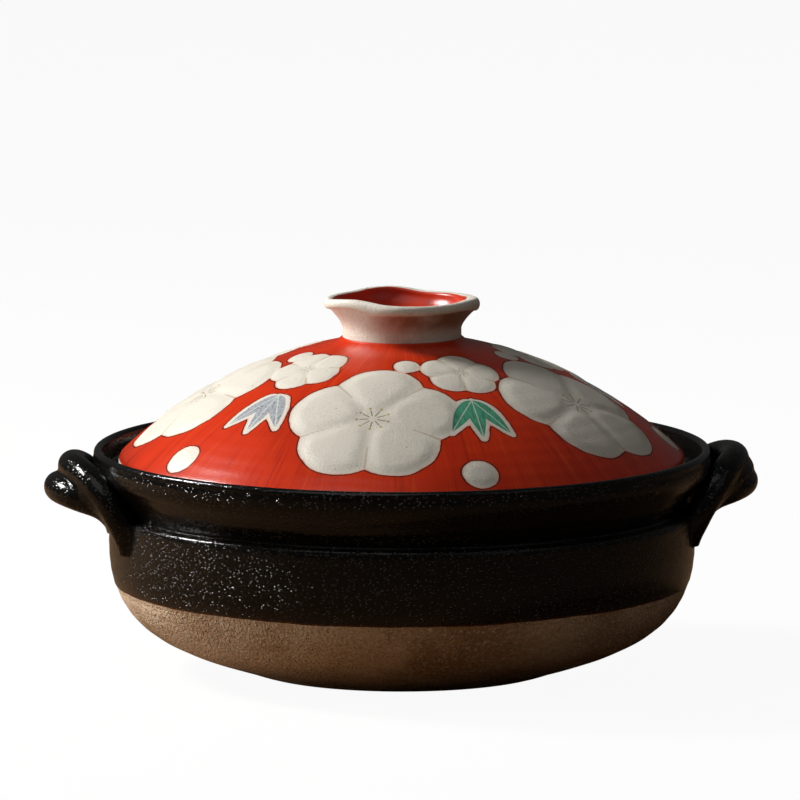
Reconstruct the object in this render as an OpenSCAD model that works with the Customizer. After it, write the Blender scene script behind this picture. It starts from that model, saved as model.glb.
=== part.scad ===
// Stew pot of fired clay with two coiled ear handles and a domed lid that lifts off.
// Lengths are in millimetres, angles in degrees. The origin is the centre of the foot,
// +Z points up and the two handles lie on the X axis.

/* [Pot] */
// Radius of the wall at its widest
pot_r = 136; // [120:1:155]
// Height of the lip's crest above the surface that the pot stands on
pot_h = 103.5; // [96:0.5:125]
// How far the widest place of the wall lies below the shoulder
belly_drop = 11; // [5:0.5:25]
// Radius at which the foot turns up into the wall
foot_r = 70; // [55:1:90]
// Width of the ring that the pot rests on
foot_ring_w = 9; // [5:1:16]
// Depth of the hollow inside the foot ring
foot_hollow = 1.5; // [0.5:0.1:3]
// Thickness of the wall
wall = 7; // [5:0.5:9]
// Thickness of the floor
floor_t = 8; // [6:0.5:11]

/* [Collar] */
// Height of the flared collar round the mouth, from the neck to the lip's crest
collar_h = 28; // [24:0.5:31]
// Height of the upright band at the top of the collar
band_h = 8; // [6:0.5:13]
// How far the collar stands out past the wall
collar_out = 7.4; // [4:0.2:10]
// How far the collar leans in from its fullest place to the lip's crest
collar_lean = 2.7; // [1:0.1:5]
// Radius of the rounded lip
lip_round = 2.4; // [1.5:0.1:3]
// How far the neck, where the collar starts, lies inside the wall
neck_d = 5.4; // [3:0.1:7]
// Width of the ledge between the neck and the shoulder's round
ledge_w = 2; // [1:0.1:2.8]
// Height of the shoulder's round below that ledge
shoulder_h = 4.5; // [3:0.5:12]

/* [Lid seat] */
// Depth of the lid's seat below the lip's crest
seat_depth = 12.5; // [9:0.5:16]
// Width of the seat from the collar's inner face to its inner edge
seat_w = 15.5; // [13:0.5:18]
// Radius of the fillet where the seat meets the collar
seat_fillet = 3; // [1:0.2:4]
// Radius of the seat's rounded inner edge
seat_edge = 1.5; // [0.5:0.1:2.5]
// Gap that keeps the resting lid clear of the seat
seat_gap = 0.3; // [0.2:0.05:0.5]
// Width of the gutter between the lid's edge and the collar's inner face
gutter_w = 6.8; // [4:0.2:9]

/* [Lid] */
// Height from the seat to the top of the dome, where the knob stands
lid_rise = 61.8; // [50:0.2:80]
// Thickness of the lid
lid_wall = 6.5; // [5:0.5:8]
// Radius of the lid's rounded edge
lid_round = 5.7; // [4:0.1:7]
// How far the lid's resting ring stays outside the seat's inner edge
lid_foot_in = 1.5; // [0.5:0.1:2]
// Diameter of the steam hole
steam_d = 6; // [4:0.5:9]
// Distance of the steam hole from the lid's axis
steam_out = 56; // [45:1:80]
// Direction of the steam hole round the lid
steam_turn = 100; // [60:1:120]

/* [Knob] */
// Radius of the knob where it stands on the lid
knob_base_r = 28.8; // [22:0.2:34]
// Radius of the knob's neck
knob_neck_r = 27.7; // [20:0.1:34]
// Mean radius of the knob's rim
knob_rim_r = 34.8; // [30:0.2:42]
// Height of the knob
knob_h = 21.7; // [16:0.1:28]
// Thickness of the knob's rim
knob_lip_t = 4.6; // [3.5:0.1:6]
// Depth of the hollow in the knob
knob_cup_d = 12.5; // [6:0.5:13]
// Radius of the floor of that hollow
knob_floor_r = 15; // [10:0.5:18]
// Number of lobes that are pinched into the rim
knob_lobes = 5; // [3:1:8]
// How far a lobe stands out from the mean radius
lobe_out = 1.3; // [0:0.1:2]
// How far a lobe rises above the mean height
lobe_up = 0.8; // [0:0.1:1.5]
// Direction in which the first lobe points
lobe_turn = -87; // [-180:1:180]

/* [Handles] */
// How far a handle's outer roll reaches past the collar
handle_out = 23; // [20:0.5:30]
// Distance between the middles of a handle's two roots
handle_span = 59; // [50:1:76]
// How far the groove between the two rolls lies below the lip's crest
handle_drop = 11.6; // [7:0.1:19]
// How far below the neck a root ends on the wall
root_drop = 13.5; // [11:0.5:25]
// Depth to which a root's middle line sinks into the wall at its end
root_sink = 3; // [1:0.1:4]
// Diameter of a roll at the middle of a handle
roll_d = 13.6; // [11:0.2:15]
// Diameter of a roll at its roots
root_d = 10; // [8:0.2:12]
// Lean of the pair of rolls, measured from upright
handle_lean = 34; // [10:1:45]
// Depth to which the two rolls are pressed into each other
roll_press = 1.9; // [0.5:0.1:3]

/* [Hidden] */

turned_fn = 96;
curve_steps = 14;
arc_steps = 6;
knob_sides = 60;
roll_sides = 12;
roll_steps = 13;
cut_overrun = 20;

glaze_black = "#26221f";
glaze_red = "#c93a1e";
glaze_cream = "#efe7da";

// Collar, lip and seat
collar_r = pot_r + collar_out;
collar_z = pot_h - collar_h;
band_z = pot_h - band_h;
lip_r = collar_r - collar_lean;
lip_in_r = lip_r - lip_round;
neck_r = pot_r - neck_d;
shoulder_z = collar_z - shoulder_h;
belly_z = shoulder_z - belly_drop;
seat_z = pot_h - seat_depth;
seat_in_r = lip_in_r - seat_w;
lip_inner_turn = 105;

// Wall curve, as shares of its reach from the foot to the belly
wall_foot_out_share = 0.6;
wall_foot_up_share = 0.19;
wall_belly_down_share = 0.68;
wall_low = [foot_r + wall_foot_out_share * (pot_r - foot_r), wall_foot_up_share * belly_z];
wall_high = [pot_r, belly_z * (1 - wall_belly_down_share)];

// Flare of the collar, as shares of its reach from the neck to the band
flare_foot_out_share = 0.15;
flare_foot_up_share = 0.35;
flare_top_down_share = 0.2;
flare_low = [
    neck_r + flare_foot_out_share * (collar_r - neck_r),
    collar_z + flare_foot_up_share * (band_z - collar_z)
];
flare_high = [collar_r, band_z - flare_top_down_share * (band_z - collar_z)];

// Lid
lid_r = lip_in_r - gutter_w;
lid_z = seat_z + seat_gap;
lid_in_r = seat_in_r + lid_foot_in;
lid_edge_turn = 44;
knob_z = seat_z + lid_rise;
lid_edge_middle = [lid_r - lid_round, lid_z + lid_round];
dome_start = lid_edge_middle + lid_round * [cos(lid_edge_turn), sin(lid_edge_turn)];
dome_reach = dome_start.x - knob_base_r;
dome_rise = knob_z - dome_start.y;
dome_edge_in_share = 0.266;
dome_edge_up_share = 0.493;
dome_top_out_share = 0.32;
dome_top_down_share = 0.089;

// Height of the knob's neck, and where the round of its rim starts
knob_neck_share = 0.17;
knob_rim_turn = 30;

// Handle's middle line, from the middle of the ear down to one root
crown_r = collar_r + handle_out - roll_d / 2 - (roll_d - roll_press) / 2 * sin(handle_lean);
handle_z = pot_h - handle_drop;
root_z = collar_z - root_drop;
root_side = handle_span / 2;
root_r = pot_r - root_sink;
root_out = sqrt(root_r * root_r - root_side * root_side);
crown_side_share = 0.74;
knee_side_share = 1.16;
knee_out_share = 0.24;
knee_drop_share = 0.1;
root_fill_share = 0.5;

// Points of a smooth curve from a to d that leaves towards b and arrives from c
function curve(a, b, c, d, steps = curve_steps) = [
    for (i = [0 : steps])
        let (t = i / steps, u = 1 - t)
        u * u * u * a + 3 * u * u * t * b + 3 * u * t * t * c + t * t * t * d
];

// Points of a round stretch about a centre
function arc(centre, r, from, to, steps = arc_steps) = [
    for (i = [0 : steps])
        let (a = from + (to - from) * i / steps)
        centre + r * [cos(a), sin(a)]
];

function unit(v) = v / norm(v);
function ease(t) = t * t * (3 - 2 * t);

// Outside of the pot from the foot's edge up to the lip's crest
function pot_outside() = concat(
    curve(
        [foot_r, 0],
        wall_low,
        wall_high,
        [pot_r, belly_z]
    ),
    curve(
        [pot_r, shoulder_z],
        [pot_r, collar_z - shoulder_h / 4],
        [pot_r - ledge_w / 2, collar_z],
        [neck_r + ledge_w, collar_z],
        arc_steps
    ),
    curve([neck_r, collar_z], flare_low, flare_high, [collar_r, band_z]),
    curve(
        [collar_r, pot_h - 3 * band_h / 4],
        [collar_r, pot_h - band_h / 2],
        [lip_r + lip_round, pot_h - band_h / 2],
        [lip_r + lip_round, pot_h - lip_round],
        arc_steps
    ),
    arc([lip_r, pot_h - lip_round], lip_round, 0, 90)
);

// Inside of the pot from the lip's crest down to the middle of the floor
function pot_inside() = concat(
    arc([lip_r, pot_h - lip_round], lip_round, lip_inner_turn, 180),
    arc([lip_in_r - seat_fillet, seat_z + seat_fillet], seat_fillet, 0, -90),
    arc([seat_in_r + seat_edge, seat_z - seat_edge], seat_edge, 90, 180),
    curve(
        [seat_in_r, collar_z],
        [seat_in_r, collar_z - shoulder_h],
        [pot_r - wall, shoulder_z],
        [pot_r - wall, belly_z],
        arc_steps
    ),
    curve(
        [pot_r - wall, belly_z],
        wall_high + [-wall, wall * sin(45)],
        wall_low + [-wall * sin(45), floor_t],
        [foot_r, floor_t]
    ),
    [[0, floor_t]]
);

module turned(points) {
    rotate_extrude($fn = turned_fn)
        polygon(points);
}

module pot_bowl() {
    color(glaze_black)
        turned(concat(
            [
                [0, foot_hollow],
                [foot_r - foot_ring_w - 2 * foot_hollow, foot_hollow],
                [foot_r - foot_ring_w, 0]
            ],
            pot_outside(),
            pot_inside()
        ));
}

// The space that the pot's outside fills, which the handles are fitted to
module pot_space() {
    turned(concat([[0, 0]], pot_outside(), [[0, pot_h]]));
}

// Middle line of the pair of rolls at share t of the way from one root, 0, to the other, 1
function half_way(t) = abs(2 * t - 1);
function ear_side(t) = t < 0.5 ? -1 : 1;
function ear_line(t) =
    let (
        h = half_way(t),
        u = 1 - h,
        knee_r = root_out + knee_out_share * (crown_r - root_out),
        knee_z = handle_z - knee_drop_share * (handle_z - root_z),
        p = u * u * u * [crown_r, 0, handle_z]
            + 3 * u * u * h * [crown_r, crown_side_share * root_side, handle_z]
            + 3 * u * h * h * [knee_r, knee_side_share * root_side, knee_z]
            + h * h * h * [root_out, root_side, root_z]
    )
    [p.x, ear_side(t) * p.y, p.z];

ear_step = 0.002;
function ear_along(t) =
    let (a = max(t - ear_step, 0), b = min(t + ear_step, 1))
    unit(ear_line(b) - ear_line(a));

// Direction from the lower roll to the upper one, square to the middle line
function ear_across(t) =
    let (
        w = ease(half_way(t)),
        lean = [-sin(handle_lean), 0, cos(handle_lean)],
        raw = (1 - w) * lean + w * [0, ear_side(t), 0],
        along = ear_along(t)
    )
    unit(raw - (raw * along) * along);

function roll_radius(t) = (roll_d + (root_d - roll_d) * ease(half_way(t))) / 2;

// One ring of points round a roll's middle line; side is 1 for the upper roll and -1 for the lower.
// Towards the roots its inner half grows deeper, where the clay is pressed into the neck.
function roll_ring(t, side) =
    let (
        r = roll_radius(t),
        across = ear_across(t),
        inward = cross(across, ear_along(t)),
        fill = 1 + root_fill_share * ease(half_way(t)),
        middle = ear_line(t) + side * (r - roll_press / 2) * across
    )
    [
        for (j = [0 : roll_sides - 1])
            let (a = 360 * j / roll_sides, deep = sin(a) > 0 ? fill : 1)
            middle + r * (cos(a) * across + deep * sin(a) * inward)
    ];

module roll(side) {
    rings = 2 * roll_steps + 1;
    points = [for (i = [0 : rings - 1]) each roll_ring(i / (rings - 1), side)];
    walls = [
        for (i = [0 : rings - 2], j = [0 : roll_sides - 1])
            let (
                k = (j + 1) % roll_sides,
                a = i * roll_sides + j,
                b = i * roll_sides + k,
                c = a + roll_sides,
                d = b + roll_sides
            )
            each [[a, b, d], [a, d, c]]
    ];
    first = [for (j = [roll_sides - 1 : -1 : 0]) j];
    last = [for (j = [0 : roll_sides - 1]) (rings - 1) * roll_sides + j];
    polyhedron(points = points, faces = concat(walls, [first, last]));
}

// The upper roll of the handle on +X, cut where it is pressed on the pot
module upper_roll() {
    color(glaze_black)
        difference() {
            roll(1);
            pot_space();
        }
}

// The lower roll, which takes the print of the upper one as well
module lower_roll() {
    color(glaze_black)
        difference() {
            roll(-1);
            roll(1);
            pot_space();
        }
}

module right_handle_upper_roll() {
    upper_roll();
}

module right_handle_lower_roll() {
    lower_roll();
}

module left_handle_upper_roll() {
    mirror([1, 0, 0])
        upper_roll();
}

module left_handle_lower_roll() {
    mirror([1, 0, 0])
        lower_roll();
}

// Outline of the lid: its foot ring and edge, over the dome, and back under it
function lid_outline() =
    let (
        edge = [-dome_edge_in_share * dome_reach, dome_edge_up_share * dome_rise],
        top = [dome_top_out_share * dome_reach, -dome_top_down_share * dome_rise],
        under = -lid_wall * [cos(lid_edge_turn), sin(lid_edge_turn)],
        peak = [knob_base_r, knob_z]
    )
    concat(
        [[lid_in_r, lid_z]],
        arc(lid_edge_middle, lid_round, -90, lid_edge_turn),
        curve(dome_start, dome_start + edge, peak + top, peak),
        [[0, knob_z]],
        curve(
            [0, knob_z - lid_wall],
            [peak.x + top.x, knob_z - lid_wall],
            dome_start + edge + under,
            [lid_in_r - lid_foot_in / 2, lid_z + lid_wall / 2]
        )
    );

module lid_dome() {
    color(glaze_red)
        difference() {
            turned(lid_outline());
            rotate([0, 0, steam_turn])
                translate([steam_out, 0, lid_z])
                    cylinder(d = steam_d, h = lid_rise + cut_overrun, $fn = turned_fn);
        }
}

// Profile of the knob from its foot over the rim to the floor of its hollow.
// Each point is a radius, a height and the share of the lobes that it takes.
function knob_profile() =
    let (
        lip = knob_lip_t / 2,
        rim_z = knob_h - lip,
        in_r = knob_rim_r - knob_lip_t,
        floor_z = knob_h - knob_cup_d,
        neck_z = knob_h * knob_neck_share,
        outside = curve(
            [knob_neck_r, neck_z],
            [knob_neck_r, knob_h / 2],
            [knob_rim_r, rim_z - knob_lip_t],
            [knob_rim_r, rim_z],
            arc_steps
        ),
        rim = arc([knob_rim_r - lip, rim_z], lip, knob_rim_turn, 180),
        inside = curve(
            [in_r, rim_z],
            [in_r - lip, rim_z - lip],
            [knob_floor_r + lip, floor_z],
            [knob_floor_r, floor_z],
            arc_steps
        )
    )
    concat(
        [[knob_base_r, 0, 0]],
        [for (p = outside) [p.x, p.y, ease((p.y - neck_z) / (rim_z - neck_z))]],
        [for (p = rim) [p.x, p.y, 1]],
        [
            for (i = [1 : arc_steps])
                let (p = inside[i])
                [p.x, p.y, (p.y - floor_z) / (rim_z - floor_z)]
        ]
    );

module lid_knob() {
    profile = knob_profile();
    rows = len(profile);
    points = concat(
        [
            for (p = profile, j = [0 : knob_sides - 1])
                let (
                    a = 360 * j / knob_sides,
                    swell = p[2] * cos(knob_lobes * (a - lobe_turn)),
                    r = p[0] + lobe_out * swell
                )
                [r * cos(a), r * sin(a), knob_z + p[1] + lobe_up * swell]
        ],
        [[0, 0, knob_z], [0, 0, knob_z + profile[rows - 1][1]]]
    );
    foot = rows * knob_sides;
    walls = [
        for (i = [0 : rows - 2], j = [0 : knob_sides - 1])
            let (
                k = (j + 1) % knob_sides,
                a = i * knob_sides + j,
                b = i * knob_sides + k,
                c = a + knob_sides,
                d = b + knob_sides
            )
            each [[a, d, b], [a, c, d]]
    ];
    base = [for (j = [0 : knob_sides - 1]) [j, (j + 1) % knob_sides, foot]];
    hollow_floor = [
        for (j = [0 : knob_sides - 1])
            let (last = (rows - 1) * knob_sides)
            [last + (j + 1) % knob_sides, last + j, foot + 1]
    ];
    color(glaze_cream)
        polyhedron(points = points, faces = concat(walls, base, hollow_floor));
}

pot_bowl();
left_handle_upper_roll();
left_handle_lower_roll();
right_handle_upper_roll();
right_handle_lower_roll();
lid_dome();
lid_knob();
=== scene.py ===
"""Dresses the clay stew pot: a dipped black bowl with two coiled ears, and a painted lid.

Lengths in the classes are in millimetres, and meshes are in metres. The ears lie on X, the front
of the pot faces -Y and +Z points up.
"""

import logging
import math
from dataclasses import dataclass, field
from enum import Enum

import bmesh
import bpy
import numpy as np
from bpy.types import ID, Material, Mesh, NodeSocket, NodeTree, Object
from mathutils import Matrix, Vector


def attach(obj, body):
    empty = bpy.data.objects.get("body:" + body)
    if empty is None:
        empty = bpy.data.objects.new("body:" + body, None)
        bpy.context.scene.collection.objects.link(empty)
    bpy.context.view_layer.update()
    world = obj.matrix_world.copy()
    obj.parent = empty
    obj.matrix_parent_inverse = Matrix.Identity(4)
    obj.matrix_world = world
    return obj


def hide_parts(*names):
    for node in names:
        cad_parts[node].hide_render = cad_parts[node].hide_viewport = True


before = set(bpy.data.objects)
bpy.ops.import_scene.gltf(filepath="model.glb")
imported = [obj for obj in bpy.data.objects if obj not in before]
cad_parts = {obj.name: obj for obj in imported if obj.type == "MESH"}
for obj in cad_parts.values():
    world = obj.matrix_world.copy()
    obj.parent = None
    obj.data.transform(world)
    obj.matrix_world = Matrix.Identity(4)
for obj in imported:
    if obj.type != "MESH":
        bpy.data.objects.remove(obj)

MM = 0.001
SMOOTH = {"interpolation_type": "SMOOTHSTEP"}
COLOUR = {"data_type": "RGBA"}
ARROW = {"data_type": "VECTOR"}
NUMBER = {"data_type": "FLOAT"}
MIX_A = 6
MIX_B = 7
MIX_OUT = 2
log = logging.getLogger("stew_pot")
Line = list[tuple[float, float]]


class Kind(Enum):
    """The types of node used here."""

    NOISE = "ShaderNodeTexNoise"
    CELLS = "ShaderNodeTexVoronoi"
    RANGE = "ShaderNodeMapRange"
    MIX = "ShaderNodeMix"
    MATH = "ShaderNodeMath"
    VECTOR = "ShaderNodeVectorMath"
    SPLIT = "ShaderNodeSeparateXYZ"
    JOIN = "ShaderNodeCombineXYZ"
    BUMP = "ShaderNodeBump"
    STORED = "ShaderNodeAttribute"
    PLACE = "ShaderNodeTexCoord"
    RAYS = "ShaderNodeLightPath"
    GLOW = "ShaderNodeEmission"
    BOTH = "ShaderNodeMixShader"
    POINTS = "GeometryNodeInputPosition"
    FACING = "GeometryNodeInputNormal"
    NAMED = "GeometryNodeInputNamedAttribute"
    PATH = "GeometryNodeMeshToCurve"
    CIRCLE = "GeometryNodeCurvePrimitiveCircle"
    UPRIGHT = "GeometryNodeSetCurveNormal"
    SWEEP = "GeometryNodeCurveToMesh"
    MERGE = "GeometryNodeMergeByDistance"
    MOVE = "GeometryNodeSetPosition"
    SHADE = "GeometryNodeSetShadeSmooth"
    REALIZE = "GeometryNodeRealizeInstances"
    DRESS = "GeometryNodeSetMaterial"


def linear(hex_colour: str) -> tuple[float, ...]:
    """Turns an sRGB hex colour to the linear red, green, blue and alpha that a shader takes."""
    levels = [int(hex_colour[start : start + 2], 16) / 255 for start in (1, 3, 5)]
    return tuple(v / 12.92 if v <= 0.04045 else ((v + 0.055) / 1.055) ** 2.4 for v in levels) + (1.0,)


def patches(place: NodeSocket, size: float, detail: float) -> dict[str, object]:
    """Returns the inputs of a pattern whose patches are about size millimetres across."""
    return {"Vector": place, "Scale": 1 / (size * MM), "Detail": detail}


def add_node(
    tree: NodeTree,
    kind: Kind,
    settings: dict[str, object] | str | None = None,
    inputs: dict[str | int, object] | tuple[object, ...] = (),
    output: str | int = 0,
) -> NodeSocket:
    """Adds a node with its settings and links.

    Args:
        tree: The shader or geometry tree.
        kind: The node's type.
        settings: Values of the node's own properties, or the name of its operation.
        inputs: A value or an output socket for each input, in order, or by name or place.
        output: The output wanted, by name or place.

    Returns:
        The output wanted.
    """
    node = tree.nodes.new(kind.value)
    if isinstance(settings, str):
        settings = {"operation": settings}
    for name, value in (settings or {}).items():
        setattr(node, name, value)
    for name, value in inputs.items() if isinstance(inputs, dict) else enumerate(inputs):
        if isinstance(value, NodeSocket):
            tree.links.new(value, node.inputs[name])
        else:
            node.inputs[name].default_value = value
    return node.outputs[output]


def smooth_step(low: float, high: float, values: np.ndarray) -> np.ndarray:
    """Returns the shares that rise smoothly from 0 at low to 1 at high."""
    share = np.clip((values - low) / (high - low), 0, 1)
    return share * share * (3 - 2 * share)


def turn_away(turn: np.ndarray, middle: float) -> np.ndarray:
    """Returns how far each direction is from the middle one, in radians from -pi to pi."""
    return (turn - middle + math.pi) % (2 * math.pi) - math.pi


def curve(points: Line, steps: int) -> Line:
    """Gives points of a smooth curve that leaves towards the second point.

    Args:
        points: Start, two guide points and end.
        steps: Number of stretches.

    Returns:
        The points, both ends included.
    """
    guide = np.array(points, float)
    t = np.linspace(0, 1, steps + 1)[:, None]
    u = 1 - t
    line = u**3 * guide[0] + 3 * u * u * t * guide[1] + 3 * u * t * t * guide[2] + t**3 * guide[3]
    return [tuple(p) for p in line]


def arc(centre: tuple[float, float], radius: float, start: float, end: float, steps: int) -> Line:
    """Returns the points of a round stretch between two angles in degrees, both ends included."""
    turns = np.radians(np.linspace(start, end, steps + 1))
    return [(centre[0] + radius * math.cos(a), centre[1] + radius * math.sin(a)) for a in turns]


def straight(start: tuple[float, float], end: tuple[float, float], steps: int) -> Line:
    """Returns the points strictly between two ends that are steps stretches apart."""
    return [tuple(p) for p in np.linspace(start, end, steps + 1)[1:-1]]


def rows_of(mesh: Mesh) -> tuple[np.ndarray, np.ndarray]:
    """Gives a mesh's points and their normals.

    Args:
        mesh: The mesh.

    Returns:
        A row for each point, in millimetres, and a row for each normal.
    """
    points, facing = np.zeros((2, len(mesh.vertices) * 3))
    mesh.vertices.foreach_get("co", points)
    mesh.vertex_normals.foreach_get("vector", facing)
    return points.reshape(-1, 3) / MM, facing.reshape(-1, 3)


def move_points(mesh: Mesh, points: np.ndarray) -> None:
    """Puts the mesh's points at new places, given in millimetres."""
    mesh.vertices.foreach_set("co", (points * MM).ravel())
    mesh.update()


def store(mesh: Mesh, name: str, values: np.ndarray) -> None:
    """Stores a number or a row of three numbers on each point.

    Args:
        mesh: The mesh.
        name: The attribute's name, which its material reads.
        values: One number or one row for each point.
    """
    kind, key = ("FLOAT", "value") if values.ndim == 1 else ("FLOAT_VECTOR", "vector")
    layer = mesh.attributes.new(name, kind, "POINT")
    layer.data.foreach_set(key, values.ravel())


def show(name: str, data: ID) -> Object:
    """Puts an object with the data in the scene.

    Args:
        name: The object's name.
        data: Its mesh, lamp or camera.

    Returns:
        The object.
    """
    item = bpy.data.objects.new(name, data)
    bpy.context.scene.collection.objects.link(item)
    return item


def add_piece(name: str, mesh: Mesh, body: str, slot: str, *nodes: str) -> None:
    """Shows a mesh as a piece that stands for CAD nodes.

    Args:
        name: The piece's name.
        mesh: Its mesh, in place and dressed.
        body: The body that it rides on.
        slot: The record's material slot; not used.
        nodes: The CAD nodes that it replaces.
    """
    piece = show(name, mesh)
    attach(piece, body)
    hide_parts(*nodes)
    triangles = sum(len(p.vertices) - 2 for p in mesh.polygons)
    log.info("%s: %d triangles on body %s", name, triangles, body)


class Graph:
    """A node tree in the making."""

    tree: NodeTree

    def add(self, *details: object) -> NodeSocket:
        """Adds a node to this tree, as add_node does."""
        return add_node(self.tree, *details)


class Tree(Graph):
    """A Geometry Nodes tree whose inputs have names."""

    def __init__(self, name: str, *lengths: str) -> None:
        """Makes the tree, with inputs for the source, the number of sides and the material.

        Args:
            name: The tree's name.
            lengths: The names of further inputs, which take numbers.
        """
        self.tree = bpy.data.node_groups.new(name, "GeometryNodeTree")
        sockets = self.tree.interface
        for way in ("INPUT", "OUTPUT"):
            sockets.new_socket("Geometry", in_out=way, socket_type="NodeSocketGeometry")
        kinds = {"Sides": "NodeSocketInt", "Material": "NodeSocketMaterial"}
        kinds.update(dict.fromkeys(lengths, "NodeSocketFloat"))
        self.identifiers = {}
        for label, kind in kinds.items():
            item = sockets.new_socket(label, in_out="INPUT", socket_type=kind)
            self.identifiers[label] = item.identifier
        self.given = self.tree.nodes.new("NodeGroupInput").outputs

    def close(self, geometry: NodeSocket) -> None:
        """Ends the tree in smooth, real, dressed geometry.

        Args:
            geometry: The finished shape.
        """
        smooth = self.add(Kind.SHADE, None, (geometry,))
        real = self.add(Kind.REALIZE, None, (smooth,))
        dressed = self.add(Kind.DRESS, None, {"Geometry": real, "Material": self.given["Material"]})
        self.tree.links.new(dressed, self.tree.nodes.new("NodeGroupOutput").inputs[0])

    def run(self, name: str, points: np.ndarray, values: dict[str, object], **marks: np.ndarray) -> Mesh:
        """Runs the tree on a chain of edges.

        Args:
            name: Name of the mesh that comes out.
            points: The chain's points, one row each, in millimetres.
            values: A value for each named input.
            marks: Further numbers for each point, by attribute.

        Returns:
            The result as a plain mesh.
        """
        source = bpy.data.meshes.new(name + "_line")
        edges = [(i, i + 1) for i in range(len(points) - 1)]
        source.from_pydata([tuple(p) for p in points * MM], edges, [])
        for mark, numbers in marks.items():
            store(source, mark, numbers)
        holder = show(name + "_source", source)
        modifier = holder.modifiers.new("shape", "NODES")
        modifier.node_group = self.tree
        for label, value in values.items():
            modifier[self.identifiers[label]] = value
        graph = bpy.context.evaluated_depsgraph_get()
        mesh = bpy.data.meshes.new_from_object(
            holder.evaluated_get(graph), preserve_all_data_layers=True, depsgraph=graph
        )
        mesh.name = name
        holder.modifiers.remove(modifier)
        bpy.data.objects.remove(holder)
        return mesh


@dataclass(frozen=True)
class Throwing:
    """How a shape is thrown: its sides, the rings and wobble that the hand leaves, and their seed."""

    sides: int
    ring_spacing: float
    ring_depth: float
    wobble: float
    seed: float


class TurningTree(Tree):
    """Turns a profile round the Z axis, with the faint rings that a throwing hand leaves."""

    wheel: float = 100.0

    def __init__(self) -> None:
        """Builds the tree."""
        lengths = ("Wheel Radius", "Ring Spacing", "Ring Depth", "Hand Wobble", "Seed")
        super().__init__("thrown_on_the_wheel", *lengths)
        profile = self.add(Kind.PATH, None, (self.given["Geometry"],))
        sizes = {"Resolution": self.given["Sides"], "Radius": self.given["Wheel Radius"]}
        wheel = self.add(Kind.CIRCLE, None, sizes)
        upright = self.add(Kind.UPRIGHT, {"mode": "Z_UP"}, (wheel,))
        turned = self.add(Kind.SWEEP, None, (upright, profile))
        closed = self.add(Kind.MERGE, None, {0: turned, "Distance": 1e-6})
        self.close(self.add(Kind.MOVE, None, {0: closed, "Offset": self.hand_marks()}))

    def hand_marks(self) -> NodeSocket:
        """Adds the nodes for the offset that rings and wobble give each point.

        Returns:
            The offset, which always points inwards.
        """
        place = self.add(Kind.POINTS)
        seed = self.given["Seed"]
        height = self.add(Kind.SPLIT, None, (place,), "Z")
        turns = self.add(Kind.MATH, "DIVIDE", (height, self.given["Ring Spacing"]))
        flat = self.add(Kind.VECTOR, "MULTIPLY", (place, (9.0, 9.0, 3.0)))
        shift, slow = (
            self.add(Kind.NOISE, {"noise_dimensions": "4D"}, inputs)
            for inputs in ((flat, seed, 1.0, 2.0), (place, seed, 14.0, 1.0))
        )
        phase = self.add(Kind.MATH, "MULTIPLY_ADD", (shift, 2.5, turns))
        radians = self.add(Kind.MATH, "MULTIPLY", (phase, 2 * math.pi))
        wave = self.add(Kind.MATH, "SINE", (radians,))
        raised = self.add(Kind.MATH, "MULTIPLY_ADD", (wave, 0.5, 0.5))
        rings = self.add(Kind.MATH, "MULTIPLY", (raised, self.given["Ring Depth"]))
        both = self.add(Kind.MATH, "MULTIPLY_ADD", (slow, self.given["Hand Wobble"], rings))
        clear_of_floor = self.add(Kind.RANGE, None, (height, 0.001, 0.012, 0.0, -1.0))
        inwards = self.add(Kind.MATH, "MULTIPLY", (both, clear_of_floor))
        return self.add(Kind.VECTOR, "SCALE", {0: self.add(Kind.FACING), "Scale": inwards})

    def turn(self, name: str, profile: Line, hand: Throwing, material: Material) -> Mesh:
        """Turns a profile.

        Args:
            name: Name of the mesh that comes out.
            profile: Radius and height of points from the inside over the top to the outside.
            hand: How it is thrown.
            material: What dresses it.

        Returns:
            The mesh.
        """
        values = {
            "Sides": hand.sides,
            "Material": material,
            "Wheel Radius": self.wheel * MM,
            "Ring Spacing": hand.ring_spacing * MM,
            "Ring Depth": hand.ring_depth * MM,
            "Hand Wobble": hand.wobble * MM,
            "Seed": hand.seed,
        }
        return self.run(name, np.array([(r - self.wheel, -z, 0) for r, z in profile]), values)


class RollTree(Tree):
    """Sweeps a round roll of clay along a path whose points carry their own thickness."""

    def __init__(self) -> None:
        """Builds the tree."""
        super().__init__("rolled_coil")
        path = self.add(Kind.PATH, None, (self.given["Geometry"],))
        section = self.add(Kind.CIRCLE, None, {"Resolution": self.given["Sides"], "Radius": 1.0})
        thickness = self.add(Kind.NAMED, NUMBER, {"Name": "thickness"}, "Attribute")
        inputs = {0: path, 1: section, "Scale": thickness, "Fill Caps": True}
        self.close(self.add(Kind.SWEEP, None, inputs))


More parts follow.
